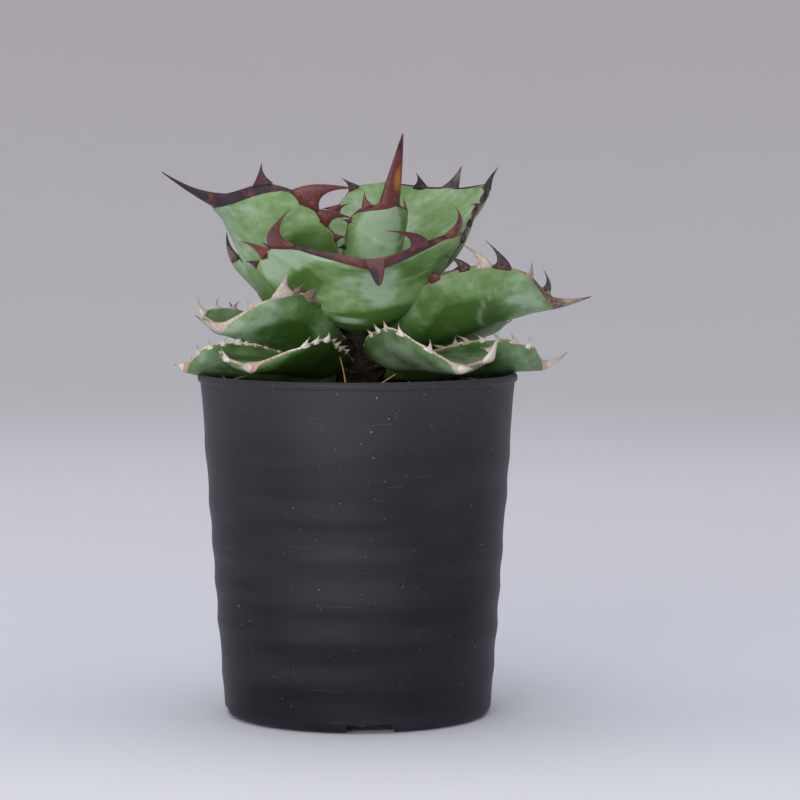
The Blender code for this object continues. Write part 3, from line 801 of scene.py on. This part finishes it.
# %% Pot body
def pot_profile():
    """The profile of the pot's shell: up outside from the foot's corner, over the lip and down inside."""
    foot = POT_BOTTOM - LIP_WIDTH
    arc = [math.radians(a) for a in (-90, -72, -54, -36, -18, 0)]
    corner = foot - POT_CORNER + SLOPE * POT_CORNER
    points = [(corner + POT_CORNER * math.cos(a), POT_CORNER * (1 + math.sin(a))) for a in arc]
    lip_foot = POT_HEIGHT - LIP_HEIGHT
    for step in range(1, WALL_STEPS + 1):
        height = POT_CORNER + (lip_foot - POT_CORNER) * step / WALL_STEPS
        points.append((foot + SLOPE * height, height))
    inside = POT_TOP - LIP_WIDTH - POT_WALL
    points += [
        (POT_TOP - 0.45 * LIP_WIDTH, lip_foot + 0.4 * LIP_WIDTH),
        (POT_TOP - 0.1 * LIP_WIDTH, lip_foot + LIP_WIDTH),
        (POT_TOP, POT_HEIGHT - 1.2 * LIP_WIDTH),
        (POT_TOP - 0.2 * LIP_WIDTH, POT_HEIGHT - 0.4 * LIP_WIDTH),
        (POT_TOP - 0.7 * LIP_WIDTH, POT_HEIGHT),
        (inside + 0.4 * LIP_WIDTH, POT_HEIGHT),
        (inside, POT_HEIGHT - 0.4 * LIP_WIDTH),
    ]
    for height in (100 * MM, 60 * MM, 20 * MM, POT_FLOOR + 2.3 * MM):
        points.append((inside - SLOPE * (POT_HEIGHT - height), height))
    points.append((inside - SLOPE * POT_HEIGHT - 2.0 * MM, POT_FLOOR))
    return points


bm = bmesh.new()
ring = [bm.verts.new((r, 0.0, z)) for r, z in pot_profile()]
edges = [bm.edges.new(pair) for pair in zip(ring, ring[1:])]
bmesh.ops.spin(
    bm, geom=ring + edges, cent=(0, 0, 0), axis=(0, 0, 1), angle=math.tau, steps=TURN_STEPS, use_merge=True
)
bmesh.ops.holes_fill(bm, edges=[e for e in bm.edges if e.is_boundary], sides=0)
for vert in bm.verts:
    height, radius = vert.co.z, vert.co.xy.length
    outside = radius > POT_BOTTOM - LIP_WIDTH - 0.4 * MM + SLOPE * height
    if outside and POT_CORNER * 0.6 < height < POT_HEIGHT - LIP_HEIGHT - 0.1 * MM:
        fade = min((height - 2 * MM) / (8 * MM), (POT_HEIGHT - LIP_HEIGHT - height) / (5 * MM), 1.0)
        vert.co.xy *= 1 + swelling(height, math.atan2(vert.co.y, vert.co.x)) * max(fade, 0.0) / radius
bmesh.ops.recalc_face_normals(bm, faces=bm.faces)
shell = bpy.data.objects.new("shell", bpy.data.meshes.new("shell"))
bm.to_mesh(shell.data)
bm.free()
bpy.context.collection.objects.link(shell)

# %% Drain notches
NOTCHES, FIRST_NOTCH = 4, math.radians(6)
NOTCH_DEEP, NOTCH_WIDE, NOTCH_TALL, NOTCH_SLANT = 12.5 * MM, 17 * MM, 3 * MM, 1.2 * MM
NOTCH_INSIDE = 9 * MM
bm = bmesh.new()
for number in range(NOTCHES):
    cube = bmesh.ops.create_cube(bm, size=1.0)["verts"]
    bmesh.ops.scale(bm, vec=(NOTCH_DEEP, NOTCH_WIDE, 2 * NOTCH_TALL), verts=cube)
    for vert in cube:
        if vert.co.z > 0:
            vert.co.y -= math.copysign(NOTCH_SLANT, vert.co.y)
    bmesh.ops.translate(bm, vec=(POT_BOTTOM - NOTCH_INSIDE + NOTCH_DEEP / 2, 0, 0), verts=cube)
    turn = Matrix.Rotation(math.tau * number / NOTCHES + FIRST_NOTCH, 3, "Z")
    bmesh.ops.rotate(bm, cent=(0, 0, 0), matrix=turn, verts=cube)
cutter = bpy.data.objects.new("cutter", bpy.data.meshes.new("cutter"))
bm.to_mesh(cutter.data)
bm.free()
bpy.context.collection.objects.link(cutter)
cut = shell.modifiers.new("notches", "BOOLEAN")
cut.operation = "DIFFERENCE"
cut.object = cutter
bpy.context.view_layer.update()
bm = bmesh.new()
bm.from_object(shell, bpy.context.evaluated_depsgraph_get())
for scratch in (shell, cutter):
    bpy.data.objects.remove(scratch, do_unlink=True)

# %% [markdown]
# # Nursery pot plastic
# Recycled polyethylene, black but greyed by dust and handling, with its colour painted darker
# towards the foot and lighter towards the rim as shade and light. It is matt and a little silky, with
# faint level bands of painted light and shade for the wall's ripples, fine upright and level scratches
# and specks of dried mix.

# %% Pot material
pot_plastic, tree, shader = new_material("recycled_polyethylene")
place = add(tree, "TexCoord", output="Object")
upright = add(tree, "Mapping", {"Vector": place, "Scale": (1.0, 1.0, 0.06)})
flat = add(tree, "Mapping", {"Vector": place, "Scale": (0.05, 0.05, 1.0)})
wide = add(tree, "Mapping", {"Vector": place, "Scale": (0.12, 0.12, 1.0)})
cloud = add(tree, "TexNoise", {"Vector": place, "Scale": 1 / (30 * MM), "Detail": 3})
dust = add(tree, "TexNoise", {"Vector": place, "Scale": 1 / (1.1 * MM), "Detail": 2})
grit = add(tree, "TexNoise", {"Vector": place, "Scale": 1 / (0.5 * MM), "Detail": 2})
scratch = add(tree, "TexNoise", {"Vector": upright, "Scale": 1 / (0.8 * MM), "Detail": 2})
level = add(tree, "TexNoise", {"Vector": flat, "Scale": 1 / (0.9 * MM), "Detail": 2})
bands = add(tree, "TexNoise", {"Vector": wide, "Scale": 1 / (9 * MM), "Detail": 2})

# The wall is painted darkest at the foot and lightest at the rim: painted shade low down, painted
# light towards the rim.
height = add(tree, "SeparateXYZ", (place,), output="Z")
height = add(tree, "Math", (height, POT_HEIGHT), operation="DIVIDE")
base = add(
    tree, "ValToRGB", (height,),
    stops=[(0.0, "#04060b"), (0.35, "#0c0e14"), (0.75, "#222124"), (1.0, "#313034")],
)
# Painted light and shade: faint level bands stand in for how light falls on the ripples of the wall.
painted_ripple_shading = add(tree, "Math", (bands, 0.9, -0.32), operation="MULTIPLY_ADD", use_clamp=True)
base = add(tree, "Mix", {0: painted_ripple_shading, 6: base, 7: "#3d3e45"}, output=2, data_type="RGBA")
clouded = add(tree, "Math", (cloud, 0.4, -0.15), operation="MULTIPLY_ADD", use_clamp=True)
base = add(tree, "Mix", {0: clouded, 6: base, 7: "#47474c"}, output=2, data_type="RGBA")

# Fine marks: upright scratches, level scratches and specks, each where its pattern peaks.
for pattern, peak, strength, tint in (
    (scratch, 0.74, 0.14, "#77777c"), (level, 0.72, 0.14, "#6a6a70"), (dust, 0.75, 0.6, "#a8a49e")
):
    mark = add(tree, "Math", (pattern, peak), operation="GREATER_THAN")
    mark = add(tree, "Math", (mark, strength), operation="MULTIPLY")
    base = add(tree, "Mix", {0: mark, 6: base, 7: tint}, output=2, data_type="RGBA")
tree.links.new(base, shader.inputs["Base Color"])
rough = add(tree, "Math", (cloud, 0.2, 0.42), operation="MULTIPLY_ADD")
tree.links.new(rough, shader.inputs["Roughness"])
shader.inputs["Specular IOR Level"].default_value = 0.22
shader.inputs["Sheen Weight"].default_value = 0.12
shader.inputs["Sheen Roughness"].default_value = 0.35
shader.inputs["Sheen Tint"].default_value = colour("#b9c4d8")
height = add(tree, "Math", (grit, 0.3), operation="MULTIPLY")
height = add(tree, "Math", (level, 0.5, height), operation="MULTIPLY_ADD")
bump = add(tree, "Bump", {"Height": height, "Distance": 0.08 * MM, "Strength": 0.5})
tree.links.new(bump, shader.inputs["Normal"])
pot = finished("pot_fine", bm, pot_plastic, "pot_plastic", "pot")
pot.data.set_sharp_from_angle(angle=math.radians(38))

# %% [markdown]
# # Potting mix
# Peat, bark dust and grit. The CAD soil stays underneath as the body of the mix, and loose crumbs, orange
# grit and dry rootlets lie on it where the leaves leave it open. Crumbs are small lumps with a few
# dozen faces each, because there are hundreds.

# %% Potting mix material
potting_mix, tree, shader = new_material("damp_peat_and_grit")
place = add(tree, "TexCoord", output="Object")
crumb = add(tree, "TexNoise", {"Vector": place, "Scale": 1 / (1.6 * MM), "Detail": 4})
bark = add(tree, "TexNoise", {"Vector": place, "Scale": 1 / (2.6 * MM), "Detail": 1})
cells = add(tree, "TexVoronoi", {"Vector": place, "Scale": 1 / (1.4 * MM)})
mix = add(tree, "ValToRGB", (crumb,), stops=[(0.3, "#1c1512"), (0.55, "#35281f"), (0.72, "#5a4230")])
bark = add(tree, "Math", (bark, 0.66), operation="GREATER_THAN")
mix = add(tree, "Mix", {0: bark, 6: mix, 7: "#8a5d38"}, output=2, data_type="RGBA")
tree.links.new(mix, shader.inputs["Base Color"])
shader.inputs["Roughness"].default_value = 0.92
height = add(tree, "Math", (crumb, cells), operation="SUBTRACT")
bump = add(tree, "Bump", {"Height": height, "Distance": 1.2 * MM, "Strength": 0.9})
tree.links.new(bump, shader.inputs["Normal"])
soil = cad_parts["soil"]
soil.data.materials.clear()
soil.data.materials.append(potting_mix)

# %% Crumbs and grit
CRUMBS, CRUMB_REACH = 420, 48.4 * MM
SOIL_DIP, SOIL_RADIUS = 3.0 * MM, 50 * MM
chance = random.Random(11)
bm = bmesh.new()
for number in range(CRUMBS):
    turn = chance.uniform(0, math.tau)
    out = math.sqrt(chance.uniform(0.16, 1.0)) * CRUMB_REACH
    size = chance.uniform(0.5, 1.25) * MM * (1.25 if number % 9 == 0 else 1.0)
    dip = SOIL_DIP * (1 - out / SOIL_RADIUS)
    lump = bmesh.ops.create_icosphere(bm, subdivisions=1, radius=1.0)["verts"]
    for vert in lump:
        vert.co *= 1 + 0.45 * noise.noise(vert.co * 1.7 + Vector((number, 0, 0)))
    flattened = (size, size * chance.uniform(0.6, 1.0), size * chance.uniform(0.5, 0.9))
    bmesh.ops.scale(bm, vec=flattened, verts=lump)
    bmesh.ops.rotate(bm, cent=(0, 0, 0), matrix=Matrix.Rotation(chance.uniform(0, 6), 3, "Z"), verts=lump)
    spot = Vector((math.cos(turn) * out, math.sin(turn) * out, SOIL_TOP - dip + 0.25 * size))
    bmesh.ops.translate(bm, vec=spot, verts=lump)
finished("potting_crumbs", bm, potting_mix, "potting_mix")

# %% [markdown]
# # Dry rootlets
# Thin straw-coloured rootlets and fibres stick up from the mix between the low leaves.

# %% Rootlets
dry_root, tree, shader = new_material("dry_rootlet")
place = add(tree, "TexCoord", output="Object")
straw = add(tree, "TexNoise", {"Vector": place, "Scale": 1 / (2.0 * MM), "Detail": 3})
straw = add(tree, "ValToRGB", (straw,), stops=[(0.3, "#8a5c33"), (0.7, "#c79a63")])
tree.links.new(straw, shader.inputs["Base Color"])
shader.inputs["Roughness"].default_value = 0.8
fibre = add(tree, "TexNoise", {"Vector": place, "Scale": 1 / (0.3 * MM), "Detail": 2})
bump = add(tree, "Bump", {"Height": fibre, "Distance": 0.05 * MM})
tree.links.new(bump, shader.inputs["Normal"])

# Each one: start and end as x, y in mm and height above the mix, sideways bow and thickness in mm.
ROOTLETS = [
    ((-3, -41, 0), (-5, -39, 9.5), 1.2, 0.26), ((5, -45, 0.6), (12.5, -44, 4.5), -0.6, 0.34),
    ((3, -46, 0.7), (13, -45.5, 1.2), 0.5, 0.42), ((8, -45, 0.8), (17, -43, 2.0), 0.8, 0.26),
    ((-40, -24, 0.4), (-35, -28, 3.0), 2.5, 0.22), ((-37, -27, 0.4), (-43, -20, 2.6), -2.0, 0.22),
    ((30, 37, 0.5), (38, 28, 3.0), 2.0, 0.3), ((-8, 46, 0.5), (6, 46, 2.6), 1.5, 0.3),
    ((-46, 4, 0.4), (-42, 14, 2.5), 1.5, 0.26), ((44, -18, 0.4), (36, -29, 2.4), -1.5, 0.26),
]
bm = bmesh.new()
for start, end, bow, thick in ROOTLETS:
    low, high = (Vector((x, y, z)) * MM + Vector((0, 0, SOIL_TOP)) for x, y, z in (start, end))
    low.z -= 1.0 * MM
    heading = (high - low).normalized()
    aside = heading.cross(Vector((0.2, 0.1, 1.0))).normalized()

    def rootlet(turn, share):
        point = low.lerp(high, share) + aside * (bow * MM * math.sin(math.pi * share))
        wide = thick * MM * (1 - 0.55 * share)
        ring = math.tau * turn
        return point + aside * (wide * math.cos(ring)) + heading.cross(aside) * (wide * math.sin(ring)), ()

    loft(bm, 8, 14, rootlet)
finished("dry_rootlets", bm, dry_root, "potting_mix")

# %% [markdown]
# # Stem and bud
# The stem is a stump ringed with old leaf scars, mostly hidden, so the plain solid serves with a ringed
# bark of its own. The bud is a cone of leaves rolled round each other: a spiral ridge runs up it.

# %% Stem
stem_bark, tree, shader = new_material("scarred_stem")
place = add(tree, "TexCoord", output="Object")
rings = add(tree, "Mapping", {"Vector": place, "Scale": (0.3, 0.3, 1.0)})
rings = add(tree, "TexNoise", {"Vector": rings, "Scale": 1 / (2.5 * MM), "Detail": 3})
# The bark is painted near black: partly its own dark brown, partly painted shade under the leaves.
bark = add(tree, "ValToRGB", (rings,), stops=[(0.3, "#15110c"), (0.7, "#2e2818")])
tree.links.new(bark, shader.inputs["Base Color"])
shader.inputs["Roughness"].default_value = 0.7
scars = add(tree, "Mapping", {"Vector": place, "Scale": (0.2, 0.2, 1.0)})
scars = add(tree, "TexNoise", {"Vector": scars, "Scale": 1 / (1.5 * MM), "Detail": 2})
bump = add(tree, "Bump", {"Height": scars, "Distance": 0.5 * MM})
tree.links.new(bump, shader.inputs["Normal"])
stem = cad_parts["stem"]
stem.data.materials.clear()
stem.data.materials.append(stem_bark)

# %% [markdown]
# # Dry leaf bases
# The first leaves have died back to brown papery bases that sheathe the stem between the living ones.

# %% Dry leaf bases
husk, tree, shader = new_material("papery_husk")
place = add(tree, "TexCoord", output="Object")
upright = add(tree, "Mapping", {"Vector": place, "Scale": (1.0, 1.0, 0.15)})
fibres = add(tree, "TexNoise", {"Vector": upright, "Scale": 1 / (1.2 * MM), "Detail": 4})
paper = add(tree, "ValToRGB", (fibres,), stops=[(0.3, "#150f0b"), (0.58, "#2d1e14"), (0.8, "#5f432b")])
tree.links.new(paper, shader.inputs["Base Color"])
shader.inputs["Roughness"].default_value = 0.85
bump = add(tree, "Bump", {"Height": fibres, "Distance": 0.3 * MM})
tree.links.new(bump, shader.inputs["Normal"])

# Bases: each next one stands a little higher and 137 degrees further round, and flares less.
BASES = 44
chance = random.Random(7)
bm = bmesh.new()
for number in range(BASES):
    turned = 2.4 * number + chance.uniform(-0.3, 0.3)
    away = Vector((math.cos(turned), math.sin(turned), 0.0))
    aside = Vector((-away.y, away.x, 0.0))
    low = SOIL_TOP + (11.5 * (number / BASES) ** 1.2 - 0.8) * MM
    tall, wide = chance.uniform(4.5, 8) * MM, chance.uniform(4, 7) * MM
    flare = chance.uniform(3.0, 11.0) * (1.15 - 0.6 * number / BASES) * MM
    ragged = chance.uniform(0, 50)

    def scale(turn, share):
        """A thin scale that starts on the stem, flares outwards and ends in a torn edge."""
        ring = math.tau * turn
        across = math.cos(ring)
        torn = 1 + 0.35 * noise.noise(Vector((across * 2.0, ragged, 0.0))) * share
        out = 7.4 * MM + flare * share ** 1.6 + 0.3 * MM * math.sin(ring) - 1.6 * MM * across * across
        half = wide * (1 - 0.45 * share ** 2) * (1 - 0.9 * max(share - 0.9, 0.0) * 10)
        return away * out + aside * (across * half) + Vector((0, 0, low + tall * share * torn)), ()

    loft(bm, 16, 10, scale)
finished("dry_leaf_bases", bm, husk, "stem_skin")

# %% Bud
# The profile: share of the height, and radius in mm.
BUD_HEIGHT = 24 * MM
BUD_PROFILE = [(0.0, 3.0), (0.25, 4.1), (0.5, 3.3), (0.76, 1.5), (1.0, 0.25)]
bm = bmesh.new()
layers = [bm.verts.layers.float.new(name) for name in LAYERS]


def bud_point(turn, share):
    """The rolled cone: the radius drops along a ridge that winds up as the outer leaf's edge does."""
    wind = (turn - 1.2 * share) % 1.0
    radius = smooth_between(BUD_PROFILE, share) * (0.88 + 0.12 * wind) * MM
    ring = math.tau * turn
    point = Vector((math.cos(ring) * radius, math.sin(ring) * radius, STEM_TOP + GAP + BUD_HEIGHT * share))
    into = (share - 0.80) * BUD_HEIGHT / MM if share > 0.5 else -3.0
    into = max(into, 0.6 - wind * 8)
    return point, (0.03, 0.75, into, max(share - 0.8, 0) * 5, 0.0, 0.0, 0.0)


loft(bm, 48, 40, bud_point, layers)
finished("bud_fine", bm, leaf_skin, "leaf_skin", "bud")

# %% Sizes, and the end
sizes = {"cad": [list(corner) for corner in CAD_BOX], "visual": [list(corner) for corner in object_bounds()]}
for name, box in sizes.items():
    print(name, [[round(v / MM, 1) for v in corner] for corner in box])
